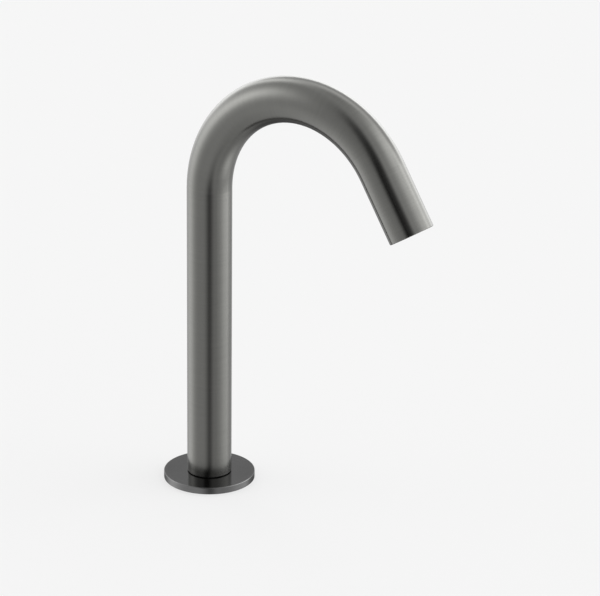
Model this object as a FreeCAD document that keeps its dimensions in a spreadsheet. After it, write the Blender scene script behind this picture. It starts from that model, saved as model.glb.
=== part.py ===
import FreeCAD, Part
import Sketcher
import math
import os

# A touch-free basin tap with a tall swan-neck spout.  Frame: millimetres, +Z up.  The origin is the
# centre of the round cover flange on the face of the basin or worktop.  The spout reaches along +X,
# so the object is symmetric about the plane Y = 0.  At rest the spout stands midway in its swing.
#
# A brass socket is fixed to the deck by two studs.  The spout tube turns on the socket's spigot, on
# two plastic bearing rings, and a grub screw in an arc groove stops it.  Water comes in through the
# port under the socket, up a nipple, through the hose and out of the aerator in the tube's tip.  The
# infrared sensor looks out beside the aerator, and its cable hangs down the column to a plug.

DIMENSIONS = {
    # Spout tube
    "tube_diameter": 28.0,
    "tube_wall": 1.5,
    "bend_height": 193.0,  # deck to the start of the bend
    "bend_radius": 68.0,  # to the tube's centre line
    "bend_angle": 148.5,
    "nose_length": 41.0,  # straight piece after the bend
    "tube_edge": 0.3,  # chamfer round the tube's ends
    # Cover flange and its gasket
    "flange_diameter": 57.5,
    "flange_thickness": 4.3,
    "flange_edge": 0.4,
    "gasket_outer": 54.0,
    "gasket_inner": 48.0,
    "gasket_thickness": 1.2,
    "gasket_play": 0.1,
    # Slip ring that carries the tube on the flange
    "slip_ring_height": 0.25,
    "slip_ring_inset": 0.9,
    "swivel_gap": 0.1,
    # Socket: foot, spigot, chamber
    "foot_diameter": 44.0,
    "foot_thickness": 2.2,
    "foot_play": 0.3,
    "spigot_play": 0.3,
    "spigot_height": 44.0,
    "spigot_lead": 1.0,
    "solid_height": 16.0,
    "spigot_wall": 1.8,
    # Bearing rings and the ring that damps the swing
    "bearing_play": 0.05,
    "bearing_depth": 0.8,
    "bearing_width": 4.0,
    "bearing_side_play": 0.1,
    "lower_bearing_height": 13.2,
    "upper_bearing_height": 39.0,
    "bearing_split": 1.2,
    "damper_height": 29.0,
    "damper_section": 1.2,
    "damper_depth": 1.0,
    # Swing stop: a grub screw through the tube, in an arc groove of the spigot
    "swing_each_way": 60.0,
    "stop_height": 20.0,
    "stop_screw_diameter": 4.0,
    "stop_screw_key": 2.0,
    "stop_play": 0.3,
    "stop_depth": 0.9,
    "screw_play": 0.05,
    "screw_inset": 0.3,
    "screw_socket_share": 0.55,
    "screw_chamfer_share": 0.125,  # of the diameter
    # Water inlet port and nipple
    "port_diameter": 9.0,
    "port_depth": 10.0,
    "nipple_diameter": 8.0,
    "nipple_bore": 5.0,
    "nipple_height": 34.0,
    "nipple_lead": 0.6,
    "inlet_seal_height": 29.5,
    "inlet_seal_section": 0.9,
    "inlet_seal_depth": 0.9,
    "clip_height": 22.5,
    "clip_thickness": 1.2,
    "clip_groove_depth": 0.7,
    # Stud holes and cable slot in the socket's underside
    "stud_hole_diameter": 5.0,
    "stud_hole_depth": 10.0,
    "stud_angle": 36.87,  # each side of the spout's direction
    "port_web": 1.3,  # between the water port and the cable slot
    "cable_slot_angle": 38.0,  # each side, to the middle of the slot's round end
    # Hose coupling on the nipple
    "coupling_play": 0.1,
    "coupling_diameter": 11.4,
    "coupling_lift": 0.5,
    "coupling_height": 38.0,
    "coupling_head": 1.0,
    "clip_play": 0.15,
    "clip_back": 1.6,
    "clip_front": 5.5,
    # Water hose
    "hose_diameter": 10.0,
    "hose_bore": 6.4,
    "hose_play": 0.05,
    "barb_length": 12.0,
    "barb_bore": 4.4,
    "barb_ridges": 3.0,
    "barb_ridge_depth": 0.35,
    "ferrule_wall": 0.6,
    "ferrule_length": 10.0,
    "ferrule_lip": 0.8,
    "hose_straight_top": 58.0,
    "hose_shift_top": 116.0,
    # Outlet holder in the tip of the tube.  Depths are measured from the end of the tube.
    "holder_recess": 0.8,
    "holder_length": 24.0,
    "holder_play": 0.1,
    "holder_edge": 0.3,
    "holder_seal_depth": 21.5,
    "holder_seal_section": 1.3,
    "holder_groove_depth": 1.3,
    "lock_screw_depth": 17.0,
    "lock_screw_diameter": 3.0,
    "lock_screw_key": 1.5,
    "lock_screw_bite": 1.2,
    # Aerator
    "aerator_offset": 2.9,  # towards the column
    "aerator_side_wall": 1.4,  # between the pocket and the holder's outside
    "aerator_pocket": 12.6,
    "aerator_play": 0.1,
    "aerator_wall": 1.1,
    "aerator_recess": 0.4,
    "aerator_length": 11.2,
    "aerator_notches": 4.0,
    "aerator_notch_width": 1.6,
    "aerator_notch_depth": 1.1,
    "aerator_lip": 0.5,
    "honeycomb_thickness": 3.2,
    "honeycomb_inset": 1.0,
    "honeycomb_pitch": 2.0,
    "honeycomb_web": 0.32,
    "honeycomb_rim": 0.55,
    "jet_plate_gap": 1.2,
    "jet_plate_thickness": 1.2,
    "jet_diameter": 0.9,
    "jet_inset": 2.2,  # from the plate's edge to the circle of jets
    "jet_count": 16.0,
    "regulator_thickness": 1.8,
    "regulator_bore": 3.0,
    "regulator_ports": 8.0,
    "screen_height": 1.8,
    "screen_wall": 0.5,
    "screen_slots": 12.0,
    "screen_slot_width": 0.8,
    "funnel_depth": 2.6,
    "pocket_step": 1.4,
    # Infrared sensor, on the far side of the tip from the column
    "sensor_inset": 4.1,  # from the tube's bore to the sensor's middle
    "sensor_width": 4.4,
    "sensor_span": 5.6,
    "sensor_play": 0.1,
    "window_thickness": 1.5,
    "capsule_length": 12.6,
    "capsule_wall": 0.6,
    "board_thickness": 0.8,
    "board_length": 6.0,
    "diode_diameter": 2.2,
    "diode_length": 3.6,
    "diode_spacing": 3.6,
    "diode_dome_share": 0.7,  # of the radius
    # Sensor cable, its sleeve and its plug
    "cable_diameter": 2.8,
    "cable_bore": 4.2,
    "sleeve_length": 5.0,
    "sleeve_flange": 0.8,
    "sleeve_play": 0.05,
    "plug_foot": 118.0,
    "plug_length": 22.0,
    "plug_width": 6.2,
    "plug_depth": 6.4,
    "plug_edge": 1.0,
    "plug_pin_diameter": 0.9,
    "plug_pin_spacing": 1.7,
    "plug_pin_depth": 6.0,
    "plug_latch_length": 9.0,
    "plug_latch_height": 0.6,
    "plug_latch_width": 2.4,
}

# Lengths that follow from the driving dimensions, as expressions
TUBE_RADIUS = "(dims.tube_diameter / 2)"
BORE_RADIUS = "(dims.tube_diameter / 2 - dims.tube_wall)"
TUBE_FOOT = "(dims.flange_thickness + dims.slip_ring_height + dims.swivel_gap)"
BEND = "(dims.bend_angle * 1 deg)"
TIP_X = f"(dims.bend_radius * (1 - cos({BEND})) + dims.nose_length * sin({BEND}))"
TIP_Z = f"(dims.bend_height + dims.bend_radius * sin({BEND}) + dims.nose_length * cos({BEND}))"
SPIGOT_RADIUS = f"({BORE_RADIUS} - dims.spigot_play)"
CHAMBER_RADIUS = f"({SPIGOT_RADIUS} - dims.spigot_wall)"
RING_GROOVE_RADIUS = f"({SPIGOT_RADIUS} - dims.bearing_depth)"
STOP_GROOVE_RADIUS = f"({SPIGOT_RADIUS} - dims.stop_depth)"
STOP_HALF_HEIGHT = "(dims.stop_screw_diameter / 2 + dims.stop_play)"
STOP_HALF_ANGLE = (
    f"(dims.swing_each_way * 1 deg + asin({STOP_HALF_HEIGHT} / {STOP_GROOVE_RADIUS}))"
)
PORT_RADIUS = "(dims.port_diameter / 2)"
STUD_CIRCLE_RADIUS = f"(({PORT_RADIUS} + {SPIGOT_RADIUS}) / 2)"
STUD_X = f"({STUD_CIRCLE_RADIUS} * cos(dims.stud_angle * 1 deg))"
STUD_Y = f"({STUD_CIRCLE_RADIUS} * sin(dims.stud_angle * 1 deg))"
SLOT_INNER_RADIUS = f"({PORT_RADIUS} + dims.port_web)"
SLOT_RADIUS = f"(({CHAMBER_RADIUS} + {SLOT_INNER_RADIUS}) / 2)"
SLOT_HALF_WIDTH = f"(({CHAMBER_RADIUS} - {SLOT_INNER_RADIUS}) / 2)"
NIPPLE_RADIUS = "(dims.nipple_diameter / 2)"
NIPPLE_BORE_RADIUS = "(dims.nipple_bore / 2)"
COUPLING_BORE_RADIUS = f"({NIPPLE_RADIUS} + dims.coupling_play)"
HOSE_BORE_RADIUS = "(dims.hose_bore / 2)"
BARB_RADIUS = f"({HOSE_BORE_RADIUS} - dims.hose_play)"
HOLDER_RADIUS = f"({BORE_RADIUS} - dims.holder_play)"
HOLDER_BACK = "(-dims.holder_recess - dims.holder_length)"
AERATOR_RADIUS = f"({HOLDER_RADIUS} - dims.aerator_offset - dims.aerator_side_wall)"
AERATOR_BORE_RADIUS = f"({AERATOR_RADIUS} - dims.aerator_play - dims.aerator_wall)"
INSERT_RADIUS = f"({AERATOR_BORE_RADIUS} - dims.aerator_play)"
JET_CIRCLE_RADIUS = f"({INSERT_RADIUS} - dims.jet_inset)"
AERATOR_FRONT = "(-dims.holder_recess - dims.aerator_recess)"
POCKET_BACK = "(-dims.holder_recess - dims.aerator_pocket)"
HONEYCOMB_FRONT = f"({AERATOR_FRONT} - dims.honeycomb_inset)"
HONEYCOMB_BACK = f"({HONEYCOMB_FRONT} - dims.honeycomb_thickness)"
JET_PLATE_FRONT = f"({HONEYCOMB_BACK} - dims.jet_plate_gap)"
JET_PLATE_BACK = f"({JET_PLATE_FRONT} - dims.jet_plate_thickness)"
REGULATOR_BACK = f"({JET_PLATE_BACK} - dims.regulator_thickness)"
SHELL_BACK = f"({AERATOR_FRONT} - dims.aerator_length)"
SENSOR_X = f"(dims.sensor_inset - {BORE_RADIUS})"
SENSOR_RADIUS = "(dims.sensor_width / 2)"
CAPSULE_FRONT = "(-dims.holder_recess - dims.window_thickness)"
CAPSULE_BACK = f"({CAPSULE_FRONT} - dims.capsule_length)"
CABLE_RADIUS = "(dims.cable_diameter / 2)"
PLUG_TOP = "(dims.plug_foot + dims.plug_length)"

CLEAR = "1"  # how far a cutter runs past the face it starts from
SAME = 1e-4  # two sizes closer than this are the same
FLATS_TO_SIDE = math.sqrt(3)  # a hexagon's width across flats, divided by its side
Vector = FreeCAD.Vector
Constraint = Sketcher.Constraint

document = FreeCAD.newDocument("sensor_tap")
dims = document.addObject("Spreadsheet::Sheet", "dims")
PIECES = []


def fill_sheet():
    for row, (name, value) in enumerate(DIMENSIONS.items(), start=1):
        dims.set(f"A{row}", name)
        dims.set(f"B{row}", str(value))
        dims.setAlias(f"B{row}", name)
    document.recompute()


def number(expression):
    """The present value of an expression, in millimetres or degrees."""
    found = dims.evalExpression(expression)
    return float(getattr(found, "Value", found))


def new_piece(label):
    body = document.addObject("PartDesign::Body", label)
    body.Label = label
    PIECES.append(body)
    return body


def put_at_tip(piece):
    """Moves a piece from its own axes to the tip: its +Z runs out along the nose, its +X to the column."""
    piece.Placement = FreeCAD.Placement(Vector(), FreeCAD.Rotation(Vector(0, 1, 0), 90))
    piece.setExpression(".Placement.Base.x", TIP_X)
    piece.setExpression(".Placement.Base.z", TIP_Z)
    piece.setExpression(".Placement.Rotation.Angle", BEND)


def new_sketch(body, name, role="XZ_Plane", offset=None):
    sketch = body.newObject("Sketcher::SketchObject", name)
    plane = next(o for o in body.Origin.OriginFeatures if o.Role == role)
    sketch.AttachmentSupport = [(plane, "")]
    sketch.MapMode = "FlatFace"
    if offset:
        sketch.setExpression(".AttachmentOffset.Base.z", offset)
    return sketch


def hold(sketch, kind, *where, size):
    """Adds a dimensional constraint whose size is an expression."""
    value = math.radians(number(size)) if kind == "Angle" else number(size)
    index = sketch.addConstraint(Constraint(kind, *where, value))
    sketch.setExpression(f"Constraints[{index}]", size)


def hold_point(sketch, shape, end, x, y):
    hold(sketch, "DistanceX", -1, 1, shape, end, size=x)
    hold(sketch, "DistanceY", -1, 1, shape, end, size=y)


def draw_outline(sketch, points):
    """A closed outline of straight edges. Each corner is a pair of expressions."""
    at = [Vector(number(x), number(y), 0) for x, y in points]
    edges = [
        sketch.addGeometry(Part.LineSegment(a, b)) for a, b in zip(at, at[1:] + at[:1])
    ]
    for edge, following, (x, y) in zip(edges, edges[1:] + edges[:1], points):
        sketch.addConstraint(Constraint("Coincident", edge, 2, following, 1))
        hold_point(sketch, edge, 1, x, y)


def draw_circle(sketch, x, y, radius):
    centre = Vector(number(x), number(y), 0)
    circle = sketch.addGeometry(Part.Circle(centre, Vector(0, 0, 1), number(radius)))
    hold_point(sketch, circle, 3, x, y)
    hold(sketch, "Radius", circle, size=radius)


def draw_racetrack(sketch, x, half_span, radius):
    """A slot shape along the sketch's Y, centred on x, with round ends."""
    cx, span, r = number(x), number(half_span), number(radius)
    normal = Vector(0, 0, 1)
    top = sketch.addGeometry(
        Part.ArcOfCircle(Part.Circle(Vector(cx, span, 0), normal, r), 0, math.pi)
    )
    low = sketch.addGeometry(
        Part.ArcOfCircle(Part.Circle(Vector(cx, -span, 0), normal, r), math.pi, 2 * math.pi)
    )
    left = sketch.addGeometry(Part.LineSegment(Vector(cx - r, span, 0), Vector(cx - r, -span, 0)))
    right = sketch.addGeometry(Part.LineSegment(Vector(cx + r, -span, 0), Vector(cx + r, span, 0)))
    sketch.addConstraint(Constraint("Tangent", top, 2, left, 1))
    sketch.addConstraint(Constraint("Tangent", left, 2, low, 1))
    sketch.addConstraint(Constraint("Tangent", low, 2, right, 1))
    sketch.addConstraint(Constraint("Tangent", right, 2, top, 1))
    hold_point(sketch, top, 3, x, half_span)
    hold_point(sketch, low, 3, x, f"-{half_span}")
    hold(sketch, "Radius", top, size=radius)
    sketch.addConstraint(Constraint("Equal", top, low))


def turned_sketch(body, name, outline, x):
    """A sketch of (radius, height) points beside the vertical line at x, and that line as an axis."""
    sketch = new_sketch(body, f"{name}_outline")
    draw_outline(sketch, [(f"{x} + {radius}", height) for radius, height in outline])
    if x == "0":
        return sketch, (sketch, ["V_Axis"])
    ends = [Vector(number(x), 0, 0), Vector(number(x), 1, 0)]
    line = sketch.addGeometry(Part.LineSegment(*ends), True)
    sketch.addConstraint(Constraint("Vertical", line))
    hold_point(sketch, line, 1, x, "0")
    hold(sketch, "DistanceY", line, 1, line, 2, size="1")
    return sketch, (sketch, ["Axis0"])


def turn(body, name, outline, x="0"):
    """Adds an outline of (radius, height) points, turned about the vertical line at x."""
    sketch, axis = turned_sketch(body, name, outline, x)
    turning = body.newObject("PartDesign::Revolution", name)
    turning.Profile = sketch
    turning.ReferenceAxis = axis
    return turning


def volume_after(body, act):
    """Runs a cut and stops if it took nothing away."""
    document.recompute()
    before = body.Shape.Volume
    feature = act()
    document.recompute()
    if not body.Shape.Volume < before:
        raise ValueError(f"{body.Label}: {feature.Name} cuts nothing")
    return feature


def cut_turned(body, name, outline, x="0", angle=None):
    """Cuts an outline turned about the vertical line at x: all round, or centred on the sketch's plane."""

    def act():
        sketch, axis = turned_sketch(body, name, outline, x)
        groove = body.newObject("PartDesign::Groove", name)
        groove.Profile = sketch
        groove.ReferenceAxis = axis
        if angle:
            groove.Midplane = True
            groove.setExpression("Angle", angle)
        return groove

    return volume_after(body, act)


def cut_groove(body, name, outer, inner, middle, half_width):
    """A square groove round the outside of a turned shape."""
    low, high = f"{middle} - {half_width}", f"{middle} + {half_width}"
    past = f"{outer} + {CLEAR}"
    cut_turned(body, name, [(inner, low), (past, low), (past, high), (inner, high)])


def cut_flat(body, name, draw, start, depth, role="XY_Plane"):
    """Cuts a sketch from start by depth, along the normal of its plane."""

    def act():
        sketch = new_sketch(body, f"{name}_outline", role, start)
        draw(sketch)
        pocket = body.newObject("PartDesign::Pocket", name)
        pocket.Profile = sketch
        pocket.setExpression("Length", depth)
        pocket.Reversed = True
        return pocket

    return volume_after(body, act)


def pad_flat(body, name, draw, start, height):
    """Raises a sketch from the height start."""
    sketch = new_sketch(body, f"{name}_outline", "XY_Plane", start)
    draw(sketch)
    pad = body.newObject("PartDesign::Pad", name)
    pad.Profile = sketch
    pad.setExpression("Length", height)
    return pad


def repeat(body, feature, count):
    """Repeats a cut or pad all round the body's own Z axis."""
    document.recompute()
    pattern = body.newObject("PartDesign::PolarPattern", f"{feature.Name}_pattern")
    pattern.Originals = [feature]
    axis = next(o for o in body.Origin.OriginFeatures if o.Role == "Z_Axis")
    pattern.Axis = (axis, [""])
    pattern.Angle = 360
    pattern.setExpression("Occurrences", count)
    body.Tip = pattern
    return pattern


def round_circles(body, radius, height, size):
    """Rounds the circular edges of that radius at that height in the body's own axes."""
    document.recompute()
    tip = body.Tip
    wanted = []
    for index, edge in enumerate(tip.Shape.Edges, start=1):
        curve = edge.Curve
        if not isinstance(curve, Part.Circle):
            continue
        if abs(curve.Radius - number(radius)) < SAME and abs(curve.Center.z - number(height)) < SAME:
            wanted.append(f"Edge{index}")
    rounding = body.newObject("PartDesign::Fillet", "rounding")
    rounding.Base = (tip, wanted)
    rounding.setExpression("Radius", size)
    return rounding


def ring(label, inner, outer, low, high):
    """A plain ring of square section."""
    body = new_piece(label)
    turn(body, "section", [(inner, low), (outer, low), (outer, high), (inner, high)])
    return body


def o_ring(label, radius, height, section):
    """A rubber ring, pressed to eight sides in its groove. Radius is to the middle of the section."""
    body = new_piece(label)
    flat, corner = f"{section} / 2", f"{section} / 2 * tan(22.5 deg)"
    sides = [(flat, corner), (corner, flat), (f"-{corner}", flat), (f"-{flat}", corner)]
    sides += [(f"-{flat}", f"-{corner}"), (f"-{corner}", f"-{flat}")]
    sides += [(corner, f"-{flat}"), (flat, f"-{corner}")]
    turn(body, "section", [(f"{radius} + {x}", f"{height} + {y}") for x, y in sides])
    return body


def sweep(body, name, path, radius, start, x="0", cut=False):
    """Sweeps a circle along the path. The path starts at the height start, at x."""
    sketch = new_sketch(body, f"{name}_section", "XY_Plane", start)
    draw_circle(sketch, x, "0", radius)
    kind = "PartDesign::SubtractivePipe" if cut else "PartDesign::AdditivePipe"
    pipe = body.newObject(kind, name)
    pipe.Profile = sketch
    pipe.Spine = (path, [])
    return pipe


def bend_path(body, offset, start, end_depth, shift=None):
    """The route down the column's length, round the bend and along the nose.

    The route lies beside the tube's centre line by offset, towards the inside of the bend, and ends
    end_depth before the end of the tube. With shift, it starts on the centre line and moves over to
    its offset between the two heights in shift.
    """
    sketch = new_sketch(body, "route")
    x = number(offset)
    low, top, nose = number(start), number("dims.bend_height"), number(f"dims.nose_length - {end_depth}")
    angle = math.radians(number("dims.bend_angle"))
    bend_radius = f"dims.bend_radius - {offset}"
    radius = number(bend_radius)
    normal = Vector(0, 0, 1)
    foot = low if not shift else number(shift[1])
    column = sketch.addGeometry(Part.LineSegment(Vector(x, foot, 0), Vector(x, top, 0)))
    circle = Part.Circle(Vector(x + radius, top, 0), normal, radius)
    bend = sketch.addGeometry(Part.ArcOfCircle(circle, math.pi - angle, math.pi))
    corner = Vector(x + radius * (1 - math.cos(angle)), top + radius * math.sin(angle), 0)
    ahead = Vector(math.sin(angle), math.cos(angle), 0)
    straight = sketch.addGeometry(Part.LineSegment(corner, corner + ahead * nose))
    sketch.addConstraint(Constraint("Vertical", column))
    hold_point(sketch, column, 2, offset, "dims.bend_height")
    sketch.addConstraint(Constraint("Tangent", column, 2, bend, 2))
    sketch.addConstraint(Constraint("Tangent", bend, 1, straight, 1))
    hold(sketch, "Radius", bend, size=bend_radius)
    hold(sketch, "Angle", bend, size=BEND)
    hold(sketch, "Distance", straight, size=f"dims.nose_length - {end_depth}")
    if not shift:
        hold(sketch, "DistanceY", -1, 1, column, 1, size=start)
        return sketch
    # Two equal arcs carry the route over from the centre line.
    first, last = number(shift[0]), number(shift[1])
    rise = last - first
    sway = (rise * rise + x * x) / (4 * x)
    half = math.asin(rise / 2 / sway)
    away = sketch.addGeometry(
        Part.ArcOfCircle(Part.Circle(Vector(sway, first, 0), normal, sway), math.pi - half, math.pi)
    )
    back = sketch.addGeometry(
        Part.ArcOfCircle(Part.Circle(Vector(x - sway, last, 0), normal, sway), -half, 0)
    )
    base = sketch.addGeometry(Part.LineSegment(Vector(0, low, 0), Vector(0, first, 0)))
    hold_point(sketch, base, 1, "0", start)
    hold_point(sketch, base, 2, "0", shift[0])
    sketch.addConstraint(Constraint("Tangent", base, 2, away, 2))
    sketch.addConstraint(Constraint("Tangent", away, 1, back, 1))
    sketch.addConstraint(Constraint("Tangent", back, 2, column, 1))
    sketch.addConstraint(Constraint("Equal", away, back))
    hold(sketch, "DistanceY", -1, 1, column, 1, size=shift[1])
    return sketch


# ---------------------------------------------------------------- what stands still on the deck


def base_flange():
    """The round cover flange: a thin disc with a recess for the socket's foot and a gasket groove."""
    body = new_piece("base_flange")
    rim = "dims.flange_diameter / 2"
    hole = f"{SPIGOT_RADIUS} + dims.foot_play"
    recess = "dims.foot_diameter / 2 + dims.foot_play"
    top = "dims.flange_thickness"
    outline = [
        (hole, top),
        (rim, top),
        (rim, "0"),
        ("dims.gasket_outer / 2", "0"),
        ("dims.gasket_outer / 2", "dims.gasket_thickness"),
        ("dims.gasket_inner / 2", "dims.gasket_thickness"),
        ("dims.gasket_inner / 2", "0"),
        (recess, "0"),
        (recess, "dims.foot_thickness"),
        (hole, "dims.foot_thickness"),
    ]
    turn(body, "disc", outline)
    round_circles(body, rim, top, "dims.flange_edge")


def flange_gasket():
    ring(
        "flange_gasket",
        "dims.gasket_inner / 2 + dims.gasket_play",
        "dims.gasket_outer / 2 - dims.gasket_play",
        "0",
        "dims.gasket_thickness",
    )


def slip_ring():
    """The plastic ring that shows as a fine dark line under the tube."""
    ring(
        "slip_ring",
        f"{SPIGOT_RADIUS} + dims.foot_play",
        f"{TUBE_RADIUS} - dims.slip_ring_inset",
        "dims.flange_thickness",
        "dims.flange_thickness + dims.slip_ring_height",
    )


def base_socket():
    """The brass socket: foot, spigot with its grooves, water port and nipple, stud holes, cable slot."""
    body = new_piece("base_socket")
    foot = "dims.foot_diameter / 2"
    lead = "dims.spigot_lead"
    height = "dims.spigot_height"
    floor = "dims.solid_height"
    nipple_top = "dims.nipple_height"
    outline = [
        (NIPPLE_BORE_RADIUS, "0"),
        (foot, "0"),
        (foot, "dims.foot_thickness"),
        (SPIGOT_RADIUS, "dims.foot_thickness"),
        (SPIGOT_RADIUS, f"{height} - {lead}"),
        (f"{SPIGOT_RADIUS} - {lead} / 2", height),
        (CHAMBER_RADIUS, height),
        (CHAMBER_RADIUS, floor),
        (NIPPLE_RADIUS, floor),
        (NIPPLE_RADIUS, f"{nipple_top} - dims.nipple_lead"),
        (f"{NIPPLE_RADIUS} - dims.nipple_lead", nipple_top),
        (NIPPLE_BORE_RADIUS, nipple_top),
    ]
    turn(body, "turned_body", outline)

    cone = f"dims.port_depth + {PORT_RADIUS} - {NIPPLE_BORE_RADIUS}"
    port_outline = [
        ("0", f"-{CLEAR}"),
        (PORT_RADIUS, f"-{CLEAR}"),
        (PORT_RADIUS, "dims.port_depth"),
        (NIPPLE_BORE_RADIUS, cone),
        ("0", cone),
    ]
    cut_turned(body, "water_port", port_outline)

    half_ring = "(dims.bearing_width / 2 + dims.bearing_side_play)"
    for name, middle in (
        ("lower_groove", "dims.lower_bearing_height"),
        ("upper_groove", "dims.upper_bearing_height"),
    ):
        cut_groove(body, name, SPIGOT_RADIUS, RING_GROOVE_RADIUS, middle, half_ring)
    cut_groove(
        body,
        "damper_groove",
        SPIGOT_RADIUS,
        f"{SPIGOT_RADIUS} - dims.damper_depth",
        "dims.damper_height",
        "(dims.damper_section / 2 + dims.bearing_side_play)",
    )
    cut_groove(
        body,
        "seal_groove",
        NIPPLE_RADIUS,
        f"{NIPPLE_RADIUS} - dims.inlet_seal_depth",
        "dims.inlet_seal_height",
        "(dims.inlet_seal_section / 2 + dims.bearing_side_play)",
    )
    cut_groove(
        body,
        "clip_groove",
        NIPPLE_RADIUS,
        f"{NIPPLE_RADIUS} - dims.clip_groove_depth",
        "dims.clip_height",
        "(dims.clip_thickness / 2 + dims.clip_play)",
    )

    # The arc groove for the stop screw, centred on the back of the column
    outer = f"-({SPIGOT_RADIUS} + {CLEAR})"
    stop_low = f"dims.stop_height - {STOP_HALF_HEIGHT}"
    stop_high = f"dims.stop_height + {STOP_HALF_HEIGHT}"
    stop_outline = [
        (outer, stop_low),
        (f"-{STOP_GROOVE_RADIUS}", stop_low),
        (f"-{STOP_GROOVE_RADIUS}", stop_high),
        (outer, stop_high),
    ]
    cut_turned(body, "stop_groove", stop_outline, angle=f"2 * {STOP_HALF_ANGLE}")

    # The curved slot for the sensor's lead, centred on the back, with round ends
    slot_outline = [
        (f"-{SLOT_INNER_RADIUS}", f"-{CLEAR}"),
        (f"-{CHAMBER_RADIUS}", f"-{CLEAR}"),
        (f"-{CHAMBER_RADIUS}", f"{floor} + {CLEAR}"),
        (f"-{SLOT_INNER_RADIUS}", f"{floor} + {CLEAR}"),
    ]
    cut_turned(body, "cable_slot", slot_outline, angle="2 * dims.cable_slot_angle * 1 deg")

    def slot_ends(sketch):
        x = f"-{SLOT_RADIUS} * cos(dims.cable_slot_angle * 1 deg)"
        y = f"{SLOT_RADIUS} * sin(dims.cable_slot_angle * 1 deg)"
        draw_circle(sketch, x, y, SLOT_HALF_WIDTH)
        draw_circle(sketch, x, f"-{y}", SLOT_HALF_WIDTH)

    cut_flat(body, "slot_ends", slot_ends, f"-{CLEAR}", f"{floor} + 2 * {CLEAR}")

    def stud_holes(sketch):
        draw_circle(sketch, STUD_X, STUD_Y, "dims.stud_hole_diameter / 2")
        draw_circle(sketch, STUD_X, f"-{STUD_Y}", "dims.stud_hole_diameter / 2")

    cut_flat(body, "stud_holes", stud_holes, f"-{CLEAR}", f"dims.stud_hole_depth + {CLEAR}")


def bearing_rings():
    """Two split plastic rings in the spigot's grooves, on which the tube turns."""
    inner = f"{RING_GROOVE_RADIUS} + dims.bearing_play"
    outer = f"{BORE_RADIUS} - dims.bearing_play"
    for label, middle in (
        ("lower_bearing_ring", "dims.lower_bearing_height"),
        ("upper_bearing_ring", "dims.upper_bearing_height"),
    ):
        low = f"{middle} - dims.bearing_width / 2"
        high = f"{middle} + dims.bearing_width / 2"
        body = ring(label, inner, outer, low, high)

        def split(sketch):
            half = "dims.bearing_split / 2"
            far = f"{outer} + {CLEAR}"
            draw_outline(
                sketch,
                [("0", f"-{half}"), (far, f"-{half}"), (far, half), ("0", half)],
            )

        cut_flat(body, "split", split, f"{low} - {CLEAR}", f"dims.bearing_width + 2 * {CLEAR}")


def base_seals():
    """The rubber ring that damps the swing, and the one that seals the nipple."""
    o_ring(
        "damping_ring",
        f"{BORE_RADIUS} - dims.bearing_play - dims.damper_section / 2",
        "dims.damper_height",
        "dims.damper_section",
    )
    o_ring(
        "inlet_seal",
        f"{COUPLING_BORE_RADIUS} - dims.bearing_play - dims.inlet_seal_section / 2",
        "dims.inlet_seal_height",
        "dims.inlet_seal_section",
    )


# ------------------------------------------------------------------------- what swings: the column


def spout_tube():
    """The bent tube, with the stop screw's hole at the back and the lock screw's hole in the nose."""
    body = new_piece("spout_tube")
    path = bend_path(body, "0", TUBE_FOOT, "0")
    sweep(body, "bent_rod", path, TUBE_RADIUS, TUBE_FOOT)
    volume_after(body, lambda: sweep(body, "bore", path, BORE_RADIUS, TUBE_FOOT, cut=True))

    # The edge at the foot and the one at the tip
    ends = []
    tube = body.Tip
    tip = Vector(number(TIP_X), 0, number(TIP_Z))
    for index, edge in enumerate(tube.Shape.Edges, start=1):
        curve = edge.Curve
        if not isinstance(curve, Part.Circle) or abs(curve.Radius - number(TUBE_RADIUS)) > SAME:
            continue
        if abs(curve.Center.z - number(TUBE_FOOT)) < SAME or (curve.Center - tip).Length < SAME:
            ends.append(f"Edge{index}")
    chamfer = body.newObject("PartDesign::Chamfer", "broken_ends")
    chamfer.Base = (tube, ends)
    chamfer.setExpression("Size", "dims.tube_edge")

    def stop_hole(sketch):
        radius = "dims.stop_screw_diameter / 2 + dims.screw_play"
        draw_circle(sketch, "0", "dims.stop_height", radius)

    depth = f"dims.tube_wall + 2 * {CLEAR}"
    cut_flat(body, "stop_hole", stop_hole, f"-{TUBE_RADIUS} - {CLEAR}", depth, "YZ_Plane")

    def lock_hole():
        sketch = body.newObject("Sketcher::SketchObject", "lock_hole_outline")
        turn_to_tip = FreeCAD.Rotation(Vector(0, 1, 0), 90)
        sketch.Placement = FreeCAD.Placement(Vector(), turn_to_tip)
        sketch.setExpression(".Placement.Base.x", f"{TIP_X} - dims.lock_screw_depth * sin({BEND})")
        sketch.setExpression(".Placement.Base.z", f"{TIP_Z} - dims.lock_screw_depth * cos({BEND})")
        sketch.setExpression(".Placement.Rotation.Angle", f"{BEND} + 90 deg")
        draw_circle(sketch, "0", "0", "dims.lock_screw_diameter / 2 + dims.screw_play")
        hole = body.newObject("PartDesign::Pocket", "lock_hole")
        hole.Profile = sketch
        hole.setExpression("Length", f"{TUBE_RADIUS} + {CLEAR}")
        hole.Reversed = True
        return hole

    volume_after(body, lock_hole)


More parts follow.
